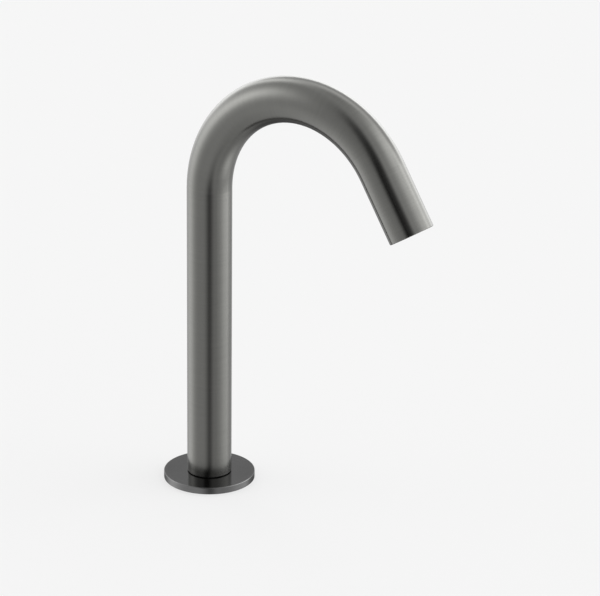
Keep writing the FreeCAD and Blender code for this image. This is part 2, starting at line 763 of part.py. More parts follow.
def grub_screw(label, diameter, key, tip_radius):
    """A headless screw with a hexagon socket. Its own +Z points out of the tube."""
    body = new_piece(label)
    radius = f"{diameter} / 2"
    top = f"{TUBE_RADIUS} - dims.screw_inset"
    chamfer = f"{diameter} * dims.screw_chamfer_share"
    outline = [
        ("0", tip_radius),
        (f"{radius} - {chamfer}", tip_radius),
        (radius, f"{tip_radius} + {chamfer}"),
        (radius, top),
        ("0", top),
    ]
    turn(body, "shank", outline)

    def hexagon(sketch):
        corner = f"{key} / sqrt(3)"
        draw_outline(
            sketch,
            [
                (f"{corner} * cos({60 * k} deg)", f"{corner} * sin({60 * k} deg)")
                for k in range(6)
            ],
        )

    depth = f"dims.screw_socket_share * ({top} - ({tip_radius}))"
    cut_flat(body, "hexagon_socket", hexagon, f"{top} - {depth}", f"{depth} + {CLEAR}")
    return body


def stop_screw():
    """The swing's stop screw, through the back of the column."""
    tip = f"{STOP_GROOVE_RADIUS} + dims.stop_play / 2"
    body = grub_screw("stop_screw", "dims.stop_screw_diameter", "dims.stop_screw_key", tip)
    body.Placement = FreeCAD.Placement(Vector(), FreeCAD.Rotation(Vector(0, 1, 0), -90))
    body.setExpression(".Placement.Base.z", "dims.stop_height")


def hose_coupling():
    """The brass coupling that turns on the nipple. The hose is crimped on the barb at its top."""
    body = new_piece("hose_coupling")
    radius = "dims.coupling_diameter / 2"
    low = "dims.solid_height + dims.coupling_lift"
    top = "dims.coupling_height"
    roof = "dims.nipple_height + dims.coupling_head"
    outline = [
        (COUPLING_BORE_RADIUS, low),
        (radius, low),
        (radius, top),
        *barb_outline(top, "+"),
        ("dims.barb_bore / 2", roof),
        (COUPLING_BORE_RADIUS, roof),
    ]
    turn(body, "turned_body", outline)

    def clip_slots(sketch):
        inner = f"{NIPPLE_RADIUS} - dims.clip_groove_depth - dims.clip_play / 2"
        outer = f"{radius} + {CLEAR}"
        for side in ("-", ""):
            draw_outline(
                sketch,
                [
                    (f"-({outer})", f"{side}({inner})"),
                    (outer, f"{side}({inner})"),
                    (outer, f"{side}({outer})"),
                    (f"-({outer})", f"{side}({outer})"),
                ],
            )

    width = "(dims.clip_thickness + 2 * dims.clip_play)"
    cut_flat(body, "clip_slots", clip_slots, f"dims.clip_height - {width} / 2", width)


def barb_outline(start, way):
    """Outline of a hose barb that leaves a face at start, up (+) or down (-), with saw-tooth ridges."""
    count = int(number("dims.barb_ridges"))
    root = f"{BARB_RADIUS} - dims.barb_ridge_depth"
    pitch = "dims.barb_length / dims.barb_ridges"
    points = []
    for tooth in range(count):
        points.append((BARB_RADIUS, f"{start} {way} {tooth} * {pitch}"))
        points.append((root, f"{start} {way} {tooth + 1} * {pitch}"))
    points.append(("dims.barb_bore / 2", f"{start} {way} dims.barb_length"))
    return points


def hose_clip():
    """The spring clip that holds the coupling on the nipple: a flat horseshoe pushed in from the back."""
    body = new_piece("hose_clip")
    half_mouth = f"({NIPPLE_RADIUS} - dims.clip_groove_depth + dims.clip_play)"
    seat = "(dims.coupling_diameter / 2 + dims.clip_play)"
    outer = f"({seat} + dims.clip_back)"
    low = "(dims.clip_height - dims.clip_thickness / 2)"

    def disc(sketch):
        draw_circle(sketch, "0", "0", outer)

    def mouth(sketch):
        past, side = f"-({outer} + {CLEAR})", f"-{half_mouth}"
        corners = [(seat, half_mouth), (past, half_mouth), (past, side), (seat, side)]
        draw_outline(sketch, corners)

    def front(sketch):
        end, past, side = "-dims.clip_front", f"-({outer} + {CLEAR})", f"({outer} + {CLEAR})"
        draw_outline(sketch, [(end, side), (past, side), (past, f"-{side}"), (end, f"-{side}")])

    pad_flat(body, "disc", disc, low, "dims.clip_thickness")
    depth = f"dims.clip_thickness + 2 * {CLEAR}"
    cut_flat(body, "mouth", mouth, f"{low} - {CLEAR}", depth)
    cut_flat(body, "front", front, f"{low} - {CLEAR}", depth)


def water_hose():
    """The hose from the coupling to the outlet holder."""
    body = new_piece("water_hose")
    foot = "dims.coupling_height"
    depth = "(dims.holder_recess + dims.holder_length)"
    shift = ("dims.hose_straight_top", "dims.hose_shift_top")
    path = bend_path(body, "dims.aerator_offset", foot, depth, shift)
    sweep(body, "hose", path, "dims.hose_diameter / 2", foot)
    volume_after(body, lambda: sweep(body, "hose_bore", path, HOSE_BORE_RADIUS, foot, cut=True))


def ferrule(label, start, way):
    """A crimped sleeve round the hose's end, rolled in at the end nearest the barb's shoulder."""
    body = new_piece(label)
    inner = "dims.hose_diameter / 2 + dims.hose_play"
    outer = f"{inner} + dims.ferrule_wall"
    lip = f"{outer} + dims.ferrule_lip"
    near = f"{start} {way} dims.ferrule_wall"
    bell = f"{start} {way} 2 * dims.ferrule_wall"
    far = f"{start} {way} dims.ferrule_length"
    outline = [(inner, near), (lip, near), (lip, bell), (outer, bell), (outer, far), (inner, far)]
    turn(body, "sleeve", outline)
    return body


def sensor_cable():
    """The sensor's cable, from its sleeve in the holder down the back of the column to the plug."""
    body = new_piece("sensor_cable")
    offset = SENSOR_X
    path = bend_path(body, offset, PLUG_TOP, f"-({CAPSULE_BACK})")
    sweep(body, "cable", path, CABLE_RADIUS, PLUG_TOP, offset)


def cable_plug():
    """The cable's plug: a small latched housing with three pin sockets facing down."""
    body = new_piece("cable_plug")
    x = SENSOR_X
    half_depth = "dims.plug_depth / 2"
    half_width = "dims.plug_width / 2"
    foot = "dims.plug_foot"

    def housing(sketch):
        draw_outline(
            sketch,
            [
                (f"{x} - {half_depth}", f"-{half_width}"),
                (f"{x} + {half_depth}", f"-{half_width}"),
                (f"{x} + {half_depth}", half_width),
                (f"{x} - {half_depth}", half_width),
            ],
        )

    pad_flat(body, "housing", housing, foot, "dims.plug_length")
    document.recompute()
    tip = body.Tip
    upright = [
        f"Edge{index}"
        for index, edge in enumerate(tip.Shape.Edges, start=1)
        if abs(edge.Length - number("dims.plug_length")) < SAME
        and abs(edge.Vertexes[0].Z - edge.Vertexes[1].Z) > 1
    ]
    rounding = body.newObject("PartDesign::Fillet", "rounded_sides")
    rounding.Base = (tip, upright)
    rounding.setExpression("Radius", "dims.plug_edge")

    def latch(sketch):
        inner = f"{x} + {half_depth} - dims.plug_latch_height"
        outer = f"{x} + {half_depth} + dims.plug_latch_height"
        half = "dims.plug_latch_width / 2"
        draw_outline(
            sketch,
            [(inner, f"-{half}"), (outer, f"-{half}"), (outer, half), (inner, half)],
        )

    pad_flat(body, "latch", latch, foot, "dims.plug_latch_length")

    def pins(sketch):
        for place in (-1, 0, 1):
            draw_circle(
                sketch, x, f"{place} * dims.plug_pin_spacing", "dims.plug_pin_diameter / 2"
            )

    cut_flat(body, "pin_sockets", pins, f"{foot} - {CLEAR}", f"dims.plug_pin_depth + {CLEAR}")


# ---------------------------------------------------------------------------- what swings: the tip


def outlet_holder():
    """The plug in the tube's tip. It holds the aerator and the sensor, and carries the hose's barb."""
    body = new_piece("outlet_holder")
    front = "-dims.holder_recess"
    outline = [
        ("0", HOLDER_BACK),
        (HOLDER_RADIUS, HOLDER_BACK),
        (HOLDER_RADIUS, f"{front} - dims.holder_edge"),
        (f"{HOLDER_RADIUS} - dims.holder_edge", front),
        ("0", front),
    ]
    turn(body, "plug", outline)
    x = "dims.aerator_offset"
    barb = [("0", HOLDER_BACK), *barb_outline(HOLDER_BACK, "-")]
    barb += [("0", f"{HOLDER_BACK} - dims.barb_length")]
    turn(body, "barb", barb, x)

    throat = "dims.barb_bore / 2"
    step = f"{AERATOR_RADIUS} - dims.pocket_step"
    pocket = [
        ("0", f"{front} + {CLEAR}"),
        (AERATOR_RADIUS, f"{front} + {CLEAR}"),
        (AERATOR_RADIUS, POCKET_BACK),
        (step, POCKET_BACK),
        (step, f"{POCKET_BACK} - dims.pocket_step"),
        (throat, f"{POCKET_BACK} - dims.pocket_step - dims.funnel_depth"),
        (throat, f"{HOLDER_BACK} - dims.barb_length - {CLEAR}"),
        ("0", f"{HOLDER_BACK} - dims.barb_length - {CLEAR}"),
    ]
    cut_turned(body, "waterway", pocket, x)

    def sensor_slot(sketch):
        draw_racetrack(sketch, SENSOR_X, "(dims.sensor_span / 2)", SENSOR_RADIUS)

    cut_flat(body, "sensor_slot", sensor_slot, CAPSULE_BACK, f"{front} + {CLEAR} - {CAPSULE_BACK}")

    def cable_hole(sketch):
        draw_circle(sketch, SENSOR_X, "0", "dims.cable_bore / 2")

    depth = f"{CAPSULE_BACK} - {HOLDER_BACK} + 2 * {CLEAR}"
    cut_flat(body, "cable_hole", cable_hole, f"{HOLDER_BACK} - {CLEAR}", depth)

    cut_groove(
        body,
        "seal_groove",
        HOLDER_RADIUS,
        f"{HOLDER_RADIUS} - dims.holder_groove_depth",
        "-dims.holder_seal_depth",
        "(dims.holder_seal_section / 2 + dims.bearing_side_play)",
    )

    def lock_dimple(sketch):
        radius = "dims.lock_screw_diameter / 2 + dims.screw_play"
        draw_circle(sketch, "0", "-dims.lock_screw_depth", radius)

    start = f"{HOLDER_RADIUS} - dims.lock_screw_bite"
    depth = f"dims.lock_screw_bite + {CLEAR}"
    cut_flat(body, "lock_dimple", lock_dimple, start, depth, "YZ_Plane")
    put_at_tip(body)


def holder_seal():
    body = o_ring(
        "holder_seal",
        f"{BORE_RADIUS} - dims.sleeve_play - dims.holder_seal_section / 2",
        "-dims.holder_seal_depth",
        "dims.holder_seal_section",
    )
    put_at_tip(body)


def lock_screw():
    """The screw that locks the holder in the nose, on the side that faces the column."""
    tip = f"{HOLDER_RADIUS} - dims.lock_screw_bite + dims.screw_play"
    body = grub_screw("lock_screw", "dims.lock_screw_diameter", "dims.lock_screw_key", tip)
    body.Placement = FreeCAD.Placement(Vector(), FreeCAD.Rotation(Vector(0, 1, 0), 90))
    body.setExpression(".Placement.Base.x", f"{TIP_X} - dims.lock_screw_depth * sin({BEND})")
    body.setExpression(".Placement.Base.z", f"{TIP_Z} - dims.lock_screw_depth * cos({BEND})")
    body.setExpression(".Placement.Rotation.Angle", f"{BEND} + 90 deg")


def aerator_shell():
    """The aerator's threaded shell, with a lip at its mouth and notches for the key."""
    body = new_piece("aerator_shell")
    outer = f"({AERATOR_RADIUS} - dims.aerator_play)"
    mouth = f"{AERATOR_BORE_RADIUS} - dims.aerator_lip"
    lip_back = HONEYCOMB_FRONT
    outline = [
        (mouth, AERATOR_FRONT),
        (outer, AERATOR_FRONT),
        (outer, SHELL_BACK),
        (AERATOR_BORE_RADIUS, SHELL_BACK),
        (AERATOR_BORE_RADIUS, lip_back),
        (mouth, lip_back),
    ]
    turn(body, "shell", outline)

    def notch(sketch):
        half = "dims.aerator_notch_width / 2"
        near, far = f"{mouth} - {CLEAR}", f"{outer} + {CLEAR}"
        draw_outline(sketch, [(near, f"-{half}"), (far, f"-{half}"), (far, half), (near, half)])

    depth = "dims.aerator_notch_depth"
    feature = cut_flat(body, "key_notch", notch, f"{AERATOR_FRONT} - {depth}", f"{depth} + {CLEAR}")
    repeat(body, feature, "dims.aerator_notches")
    move_to_aerator(body)


def move_to_aerator(body):
    """Puts a piece that was made on its own axis in line with the aerator, at the tip."""
    put_at_tip(body)
    body.setExpression(".Placement.Base.x", f"{TIP_X} + dims.aerator_offset * cos({BEND})")
    body.setExpression(".Placement.Base.z", f"{TIP_Z} - dims.aerator_offset * sin({BEND})")


def honeycomb():
    """The stream straightener: a disc of hexagonal cells inside a plain rim."""
    radius = number(INSERT_RADIUS)
    thickness = number("dims.honeycomb_thickness")
    pitch = number("dims.honeycomb_pitch")
    flat = pitch - number("dims.honeycomb_web")
    corner = flat / FLATS_TO_SIDE
    limit = radius - number("dims.honeycomb_rim") - corner
    back = number(HONEYCOMB_BACK)
    disc = Part.makeCylinder(radius, thickness, Vector(0, 0, back))
    corners = [
        Vector(corner * math.cos(math.radians(60 * k)), corner * math.sin(math.radians(60 * k)), back)
        for k in range(7)
    ]
    cell = Part.Face(Part.makePolygon(corners)).extrude(Vector(0, 0, thickness))
    rows = math.ceil(radius / pitch)
    cells = []
    for row in range(-rows, rows + 1):
        for column in range(-rows, rows + 1):
            place = Vector(pitch * FLATS_TO_SIDE / 2 * row, pitch * (column + row / 2), 0)
            if place.Length <= limit:
                cells.append(cell.translated(place))
    straightener = document.addObject("Part::Feature", "stream_straightener")
    straightener.Label = "stream_straightener"
    straightener.Shape = disc.cut(Part.makeCompound(cells)).Solids[0]
    move_to_aerator(straightener)
    PIECES.append(straightener)


def jet_plate():
    """The perforated plate that splits the water into fine jets."""
    body = new_piece("jet_plate")
    outline = [
        ("0", JET_PLATE_BACK),
        (INSERT_RADIUS, JET_PLATE_BACK),
        (INSERT_RADIUS, JET_PLATE_FRONT),
        ("0", JET_PLATE_FRONT),
    ]
    turn(body, "plate", outline)

    def jet(sketch):
        draw_circle(sketch, JET_CIRCLE_RADIUS, "0", "dims.jet_diameter / 2")

    feature = cut_flat(
        body, "jet", jet, f"{JET_PLATE_BACK} - {CLEAR}", f"dims.jet_plate_thickness + 2 * {CLEAR}"
    )
    repeat(body, feature, "dims.jet_count")
    move_to_aerator(body)


def flow_regulator():
    """The flow regulator: a ring with a bore and ports that feed the jet plate."""
    body = new_piece("flow_regulator")
    outline = [
        ("dims.regulator_bore / 2", REGULATOR_BACK),
        (INSERT_RADIUS, REGULATOR_BACK),
        (INSERT_RADIUS, JET_PLATE_BACK),
        ("dims.regulator_bore / 2", JET_PLATE_BACK),
    ]
    turn(body, "ring", outline)

    def port(sketch):
        draw_circle(sketch, JET_CIRCLE_RADIUS, "0", "dims.jet_diameter")

    feature = cut_flat(
        body, "port", port, f"{REGULATOR_BACK} - {CLEAR}", f"dims.regulator_thickness + 2 * {CLEAR}"
    )
    repeat(body, feature, "dims.regulator_ports")
    move_to_aerator(body)


def inlet_screen():
    """The coned screen at the aerator's back that keeps grit out."""
    body = new_piece("inlet_screen")
    wall = "dims.screen_wall"
    back = f"{REGULATOR_BACK} - dims.screen_height"
    top = f"{INSERT_RADIUS} / 2"
    outline = [
        ("0", back),
        (top, back),
        (INSERT_RADIUS, f"{REGULATOR_BACK} - {wall}"),
        (INSERT_RADIUS, REGULATOR_BACK),
        (f"{INSERT_RADIUS} - {wall}", REGULATOR_BACK),
        (f"{top} - {wall} / 2", f"{back} + {wall}"),
        ("0", f"{back} + {wall}"),
    ]
    turn(body, "cone", outline)

    def slot(sketch):
        half = "dims.screen_slot_width / 2"
        near, far = f"{top} + {wall}", f"{INSERT_RADIUS} - 2 * {wall}"
        draw_outline(sketch, [(near, f"-{half}"), (far, f"-{half}"), (far, half), (near, half)])

    feature = cut_flat(
        body, "slot", slot, f"{back} - {CLEAR}", f"dims.screen_height + 2 * {CLEAR}"
    )
    repeat(body, feature, "dims.screen_slots")
    move_to_aerator(body)


def aerator_seal():
    """The flat washer between the shell and the bottom of its pocket."""
    body = ring(
        "aerator_seal",
        f"{AERATOR_RADIUS} - dims.pocket_step + dims.aerator_play",
        f"{AERATOR_RADIUS} - dims.aerator_play",
        POCKET_BACK,
        SHELL_BACK,
    )
    move_to_aerator(body)


def racetrack_piece(label, front, length, play):
    """A solid with the sensor slot's section."""
    body = new_piece(label)

    def section(sketch):
        draw_racetrack(
            sketch, SENSOR_X, "(dims.sensor_span / 2)", f"{SENSOR_RADIUS} - {play}"
        )

    pad_flat(body, "section", section, f"{front} - {length}", length)
    return body


def sensor_window():
    """The dark lens in front of the sensor, flush with the holder."""
    body = racetrack_piece(
        "sensor_window", "-dims.holder_recess", "dims.window_thickness", "dims.sensor_play"
    )
    put_at_tip(body)


def sensor_capsule():
    """The sensor's capsule, open at the front behind the lens."""
    body = racetrack_piece(
        "sensor_capsule", CAPSULE_FRONT, "dims.capsule_length", "dims.sensor_play"
    )

    inside = f"{SENSOR_RADIUS} - dims.sensor_play - dims.capsule_wall"

    def cavity(sketch):
        draw_racetrack(sketch, SENSOR_X, "(dims.sensor_span / 2)", inside)

    cut_flat(
        body,
        "cavity",
        cavity,
        f"{CAPSULE_BACK} + dims.capsule_wall",
        f"dims.capsule_length - dims.capsule_wall + {CLEAR}",
    )
    put_at_tip(body)


def sensor_board():
    """The sensor's circuit board, standing on the capsule's floor."""
    body = new_piece("sensor_board")

    def outline(sketch):
        half = "dims.board_thickness / 2"
        reach = "dims.sensor_span / 2"
        x = SENSOR_X
        draw_outline(
            sketch,
            [
                (f"{x} - {half}", f"-{reach}"),
                (f"{x} + {half}", f"-{reach}"),
                (f"{x} + {half}", reach),
                (f"{x} - {half}", reach),
            ],
        )

    pad_flat(body, "board", outline, f"{CAPSULE_BACK} + dims.capsule_wall", "dims.board_length")
    put_at_tip(body)


def sensor_diodes():
    """The infrared emitter and receiver, domed towards the lens."""
    foot = f"({CAPSULE_BACK} + dims.capsule_wall + dims.board_length)"
    radius = "dims.diode_diameter / 2"
    for label, side in (("ir_emitter", ""), ("ir_receiver", "-")):
        body = new_piece(label)

        def section(sketch):
            draw_circle(sketch, SENSOR_X, f"{side}(dims.diode_spacing / 2)", radius)

        pad_flat(body, "barrel", section, foot, "dims.diode_length")
        round_circles(body, radius, f"{foot} + dims.diode_length", f"{radius} * dims.diode_dome_share")
        put_at_tip(body)


def cable_sleeve():
    """The rubber sleeve round the cable where it enters the holder."""
    body = new_piece("cable_sleeve")
    inner = f"{CABLE_RADIUS} + dims.sleeve_play"
    outer = "dims.cable_bore / 2 - dims.sleeve_play"
    flange = f"{outer} + dims.sleeve_flange"
    rim = f"{HOLDER_BACK} - dims.sleeve_flange"
    inside = f"{HOLDER_BACK} + dims.sleeve_length"
    outline = [
        (inner, rim),
        (flange, rim),
        (flange, HOLDER_BACK),
        (outer, HOLDER_BACK),
        (outer, inside),
        (inner, inside),
    ]
    turn(body, "sleeve", outline)
    put_at_tip(body)
    body.setExpression(".Placement.Base.x", f"{TIP_X} + {SENSOR_X} * cos({BEND})")
    body.setExpression(".Placement.Base.z", f"{TIP_Z} - {SENSOR_X} * sin({BEND})")


def write_pieces():
    """Stops on any failed object, then writes one file for each piece."""
    document.recompute()
    failed = [o.Name for o in document.Objects if {"Invalid", "Error"} & set(o.State)]
    if failed:
        raise ValueError(f"failed objects: {failed}")
    os.makedirs("parts", exist_ok=True)
    for piece in PIECES:
        shape = piece.Shape
        if shape.isNull() or not shape.isValid() or not shape.Solids:
            raise ValueError(f"{piece.Label} is not a valid solid")
        shape.exportStep(f"parts/{piece.Label}.step")


fill_sheet()
base_flange()
flange_gasket()
slip_ring()
base_socket()
bearing_rings()
base_seals()
spout_tube()
stop_screw()
hose_coupling()
hose_clip()
water_hose()
ferrule("lower_ferrule", "dims.coupling_height", "+")
sensor_cable()
cable_plug()
outlet_holder()
upper_ferrule = ferrule("upper_ferrule", HOLDER_BACK, "-")
move_to_aerator(upper_ferrule)
holder_seal()
lock_screw()
aerator_shell()
honeycomb()
jet_plate()
flow_regulator()
inlet_screen()
aerator_seal()
sensor_window()
sensor_capsule()
sensor_board()
sensor_diodes()
cable_sleeve()
write_pieces()
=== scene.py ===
import math
from collections import namedtuple

import bpy
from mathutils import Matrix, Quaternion, Vector

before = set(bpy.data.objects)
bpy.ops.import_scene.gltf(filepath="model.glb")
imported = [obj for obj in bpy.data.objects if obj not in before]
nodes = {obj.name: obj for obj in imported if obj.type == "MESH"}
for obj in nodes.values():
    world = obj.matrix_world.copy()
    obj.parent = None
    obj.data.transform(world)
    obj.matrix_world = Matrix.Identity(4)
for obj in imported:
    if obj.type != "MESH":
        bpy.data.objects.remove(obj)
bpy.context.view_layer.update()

# ---------------------------------------------------------------- the tube's line
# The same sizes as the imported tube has, in millimetres.
BEND_RADIUS = 68.0
BEND_START = 193.0
BEND_ANGLE = math.radians(148.5)
MM_PER_METRE = 1000.0

# ---------------------------------------------------------------- the camera
# Azimuth 0 looks from -Y. Angles are in degrees, lengths in metres, the lens in mm.
AZIMUTH_ZERO = -90.0
CAMERA_AZIMUTH = 36.62
CAMERA_ELEVATION = 20.84
CAMERA_DISTANCE = 1.82
CAMERA_PIVOT = Vector((0.0, 0.0, 0.126))
CAMERA_AIM = Vector((0.04616, 0.032, 0.1214))
CAMERA_ROLL = 0.7
CAMERA_LENS = 176.07
CAMERA_NEAR = 0.05
CAMERA_FAR = 50.0

# ---------------------------------------------------------------- the studio
STUDIO_LEVEL = 0.54
BACKDROP_LEVEL = 0.922
FLOOR_ALBEDO = 0.868
FLOOR_ROUGHNESS = 0.9
FLOOR_EVENNESS = 0.7
FLOOR_HALF = 8.0
FLOOR_DROP = 0.0002
# The studio's patches: side angle from the camera, height angle, half width and half
# height, all in degrees, and the strength that a light adds or the share that a gap takes.
Patch = namedtuple("Patch", "side height half_width half_height strength")
SOFT_LIGHTS = {
    "left_softbox": Patch(-97, 23, 15, 16, 1.32),
    "right_softbox": Patch(84, 34, 22, 24, 1.27),
    "back_top": Patch(-157, 29, 8, 20, 1.30),
    "right_floor": Patch(86, -8, 21, 10, 1.70),
    "right_ground": Patch(85, -47, 18, 12, 1.06),
    "left_ground": Patch(-114, -5, 25, 33, 1.28),
    "right_wall": Patch(128, 2, 57, 10, 1.66),
    "right_top": Patch(86, 43, 59, 10, 0.37),
    "front_left": Patch(-35, -32, 26, 16, 0.20),
    "right_low": Patch(107, 7, 10, 21, 1.70),
    "back_high": Patch(-197, 46, 26, 10, 0.95),
    "front_right": Patch(16, 14, 8, 60, 0.23),
    "back_horizon": Patch(180, 8, 45, 7, 0.85),
}
DARK_GAPS = {
    "camera_slot": Patch(-14, 31, 14, 33, 0.83),
    "camera_stand": Patch(-3, 5, 25, 19, 0.96),
    "back_ground": Patch(192, -50, 23, 25, 0.97),
    "camera_legs": Patch(4, -4, 17, 27, 0.97),
}

# ---------------------------------------------------------------- the finishes
WHITE = (1.0, 1.0, 1.0)
# The coated metal: brush lines per millimetre across them, how slowly they change along
# the tube's girth, the two levels between which they vary, what lines and clouds add to
# the roughness, and the lines' depth in metres. The first two values lie under the
# patterns, and show only where a viewer leaves the patterns out.
COAT_COLOUR = (0.18, 0.18, 0.18, 1.0)
COAT_ROUGHNESS = 0.2
BRUSH_DENSITY = 3.0
BRUSH_STRETCH = 0.05
BRUSH_LEVELS = (0.175, 0.191)
BRUSH_ROUGHNESS = 0.06
CLOUD_ROUGHNESS = 0.04
BRUSH_DEPTH = 0.00001
Coat = namedtuple("Coat", "tint edge_tint anisotropy rough")
TUBE_COAT = Coat(tint=(1.0, 1.0, 0.95), edge_tint=1.0, anisotropy=0.8, rough=0.15)
FLANGE_COAT = Coat(tint=WHITE, edge_tint=0.44, anisotropy=0.4, rough=0.1)
# The other finishes: pattern sizes and depths. Pitches are in millimetres, the density is
# per millimetre, and depths are in metres.
RIB_PITCH = 1.6
RIB_DEPTH = 0.00025
TRACK_PITCH = 0.9
TRACK_COLOUR = (0.12, 0.36, 0.16)
TRACK_DEPTH = 0.00004
TURNING_DENSITY = 4.0
GRAIN_DEPTH = 0.00003


# ---------------------------------------------------------------- node helpers
class Tree:
    """A node tree with short calls for its usual nodes."""

    def __init__(self, tree):
        self.tree = tree

    def add(self, kind, **values):
        node = self.tree.nodes.new(kind)
        for name, value in values.items():
            setattr(node, name, value)
        return node

    def join(self, source, target):
        if isinstance(source, (int, float, tuple)):
            target.default_value = source
        else:
            self.tree.links.new(source, target)

    def math(self, operation, first, second=0.0, third=0.0):
        node = self.add("ShaderNodeMath", operation=operation)
        for value, socket in zip((first, second, third), node.inputs):
            self.join(value, socket)
        return node.outputs[0]

    def vector(self, operation, first, second=(0.0, 0.0, 0.0)):
        node = self.add("ShaderNodeVectorMath", operation=operation)
        self.join(first, node.inputs[0])
        self.join(second, node.inputs[1])
        return node.outputs["Value" if operation == "DOT_PRODUCT" else "Vector"]

    def pack(self, x, y, z):
        node = self.add("ShaderNodeCombineXYZ")
        for value, socket in zip((x, y, z), node.inputs):
            self.join(value, socket)
        return node.outputs[0]

    def split(self, vector):
        node = self.add("ShaderNodeSeparateXYZ")
        self.join(vector, node.inputs[0])
        return node.outputs

    def noise(self, vector, scale, detail, rough=0.5):
        node = self.add("ShaderNodeTexNoise")
        self.join(vector, node.inputs["Vector"])
        node.inputs["Scale"].default_value = scale
        node.inputs["Detail"].default_value = detail
        node.inputs["Roughness"].default_value = rough
        return node.outputs["Fac"]

    def spread(self, value, low, high):
        """A smooth step from 0 at low to 1 at high."""
        node = self.add("ShaderNodeMapRange", interpolation_type="SMOOTHSTEP")
        for item, socket in zip((value, low, high), node.inputs):
            self.join(item, socket)
        return node.outputs[0]

    def mix(self, data_type, amount, first, second):
        node = self.add("ShaderNodeMix", data_type=data_type)
        self.join(amount, node.inputs["Factor"])
        self.join(first, node.inputs["A"])
        self.join(second, node.inputs["B"])
        return node.outputs["Result"]

    def mix_numbers(self, amount, first, second):
        return self.mix("FLOAT", amount, first, second)

    def mix_colours(self, amount, first, second):
        return self.mix("RGBA", amount, first, second)


def shade(tint, level=1.0):
    """The tint at a level, as an opaque colour for a socket."""
    return tuple(min(part * level, 1.0) for part in tint) + (1.0,)


def grey(level):
    return shade(WHITE, level)


# ---------------------------------------------------------------- studio light
def heading(side, height):
    """The direction at an angle to the camera's side and above the horizon."""
    turn = math.radians(CAMERA_AZIMUTH + AZIMUTH_ZERO + side)
    rise = math.radians(height)
    flat = math.cos(rise)
    return Vector((flat * math.cos(turn), flat * math.sin(turn), math.sin(rise)))


def soft_patch(tree, direction, patch, steep=False):
    """One where the direction points at the patch, falling softly to nothing."""
    axis = heading(patch.side, patch.height)
    up = heading(patch.side, patch.height + 90.0)
    across = up.cross(axis)
    wide = math.sin(math.radians(patch.half_width))
    tall = math.sin(math.radians(patch.half_height))
    ahead = tree.vector("DOT_PRODUCT", direction, tuple(axis))
    x = tree.vector("DOT_PRODUCT", direction, tuple(across / wide))
    y = tree.vector("DOT_PRODUCT", direction, tuple(up / tall))
    reach = tree.math("MULTIPLY_ADD", x, x, tree.math("MULTIPLY", y, y))
    if steep:
        reach = tree.math("MULTIPLY", reach, reach)
    fall = tree.math("POWER", 2.0, tree.math("MULTIPLY", reach, -1.0))
    return tree.math("MULTIPLY", fall, tree.math("GREATER_THAN", ahead, 0.0))


def light_studio():
    """A world of soft patches. The camera itself sees an even pale ground."""
    world = bpy.data.worlds.new("studio")
    world.use_nodes = True
    world.node_tree.nodes.clear()
    tree = Tree(world.node_tree)
    direction = tree.add("ShaderNodeTexCoord").outputs["Generated"]
    level = STUDIO_LEVEL
    for gap in DARK_GAPS.values():
        amount = soft_patch(tree, direction, gap, steep=True)
        left = tree.math("MULTIPLY_ADD", amount, -gap.strength, 1.0)
        level = tree.math("MULTIPLY", level, left)
    for light in SOFT_LIGHTS.values():
        amount = soft_patch(tree, direction, light)
        level = tree.math("MULTIPLY_ADD", amount, light.strength, level)
    seen = tree.add("ShaderNodeLightPath").outputs["Is Camera Ray"]
    glow = tree.add("ShaderNodeBackground")
    glow.inputs["Color"].default_value = grey(1.0)
    tree.join(tree.mix_numbers(seen, level, BACKDROP_LEVEL), glow.inputs["Strength"])
    out = tree.add("ShaderNodeOutputWorld")
    tree.join(glow.outputs[0], out.inputs["Surface"])
    bpy.context.scene.world = world


def place_camera():
    """The photograph's view, fitted to the tap's outline."""
    data = bpy.data.cameras.new("camera")
    data.lens = CAMERA_LENS
    data.clip_start = CAMERA_NEAR
    data.clip_end = CAMERA_FAR
    camera = bpy.data.objects.new("camera", data)
    bpy.context.scene.collection.objects.link(camera)
    camera.location = CAMERA_PIVOT + heading(0.0, CAMERA_ELEVATION) * CAMERA_DISTANCE
    look = CAMERA_AIM - camera.location
    turn = Quaternion((0.0, 0.0, 1.0), math.radians(CAMERA_ROLL))
    camera.rotation_mode = "QUATERNION"
    camera.rotation_quaternion = look.to_track_quat("-Z", "Y") @ turn
    bpy.context.scene.camera = camera


def lay_floor():
    """Pale paper under the tap. Most of what the camera sees of it is the backdrop's
    grey, and the rest takes the light and the shadow. It doesn't show in the metal."""
    mesh = bpy.data.meshes.new("floor")
    signs = ((-1, -1), (1, -1), (1, 1), (-1, 1))
    corners = [(x * FLOOR_HALF, y * FLOOR_HALF, 0.0) for x, y in signs]
    mesh.from_pydata(corners, [], [(0, 1, 2, 3)])
    floor = bpy.data.objects.new("floor", mesh)
    bpy.context.scene.collection.objects.link(floor)
    floor.location.z = -FLOOR_DROP
    floor.visible_glossy = False
    material, tree, surface = new_material("floor_paper", grey(FLOOR_ALBEDO), FLOOR_ROUGHNESS)
    surface.inputs["Specular IOR Level"].default_value = 0.0
    seen = tree.add("ShaderNodeLightPath").outputs["Is Camera Ray"]
    even = tree.add("ShaderNodeEmission")
    even.inputs["Color"].default_value = grey(BACKDROP_LEVEL)
    mix = tree.add("ShaderNodeMixShader")
    tree.join(tree.math("MULTIPLY", seen, FLOOR_EVENNESS), mix.inputs[0])
    tree.join(surface.outputs[0], mix.inputs[1])
    tree.join(even.outputs[0], mix.inputs[2])
    out = material.node_tree.nodes["Material Output"]
    tree.join(mix.outputs[0], out.inputs["Surface"])
    mesh.materials.append(material)


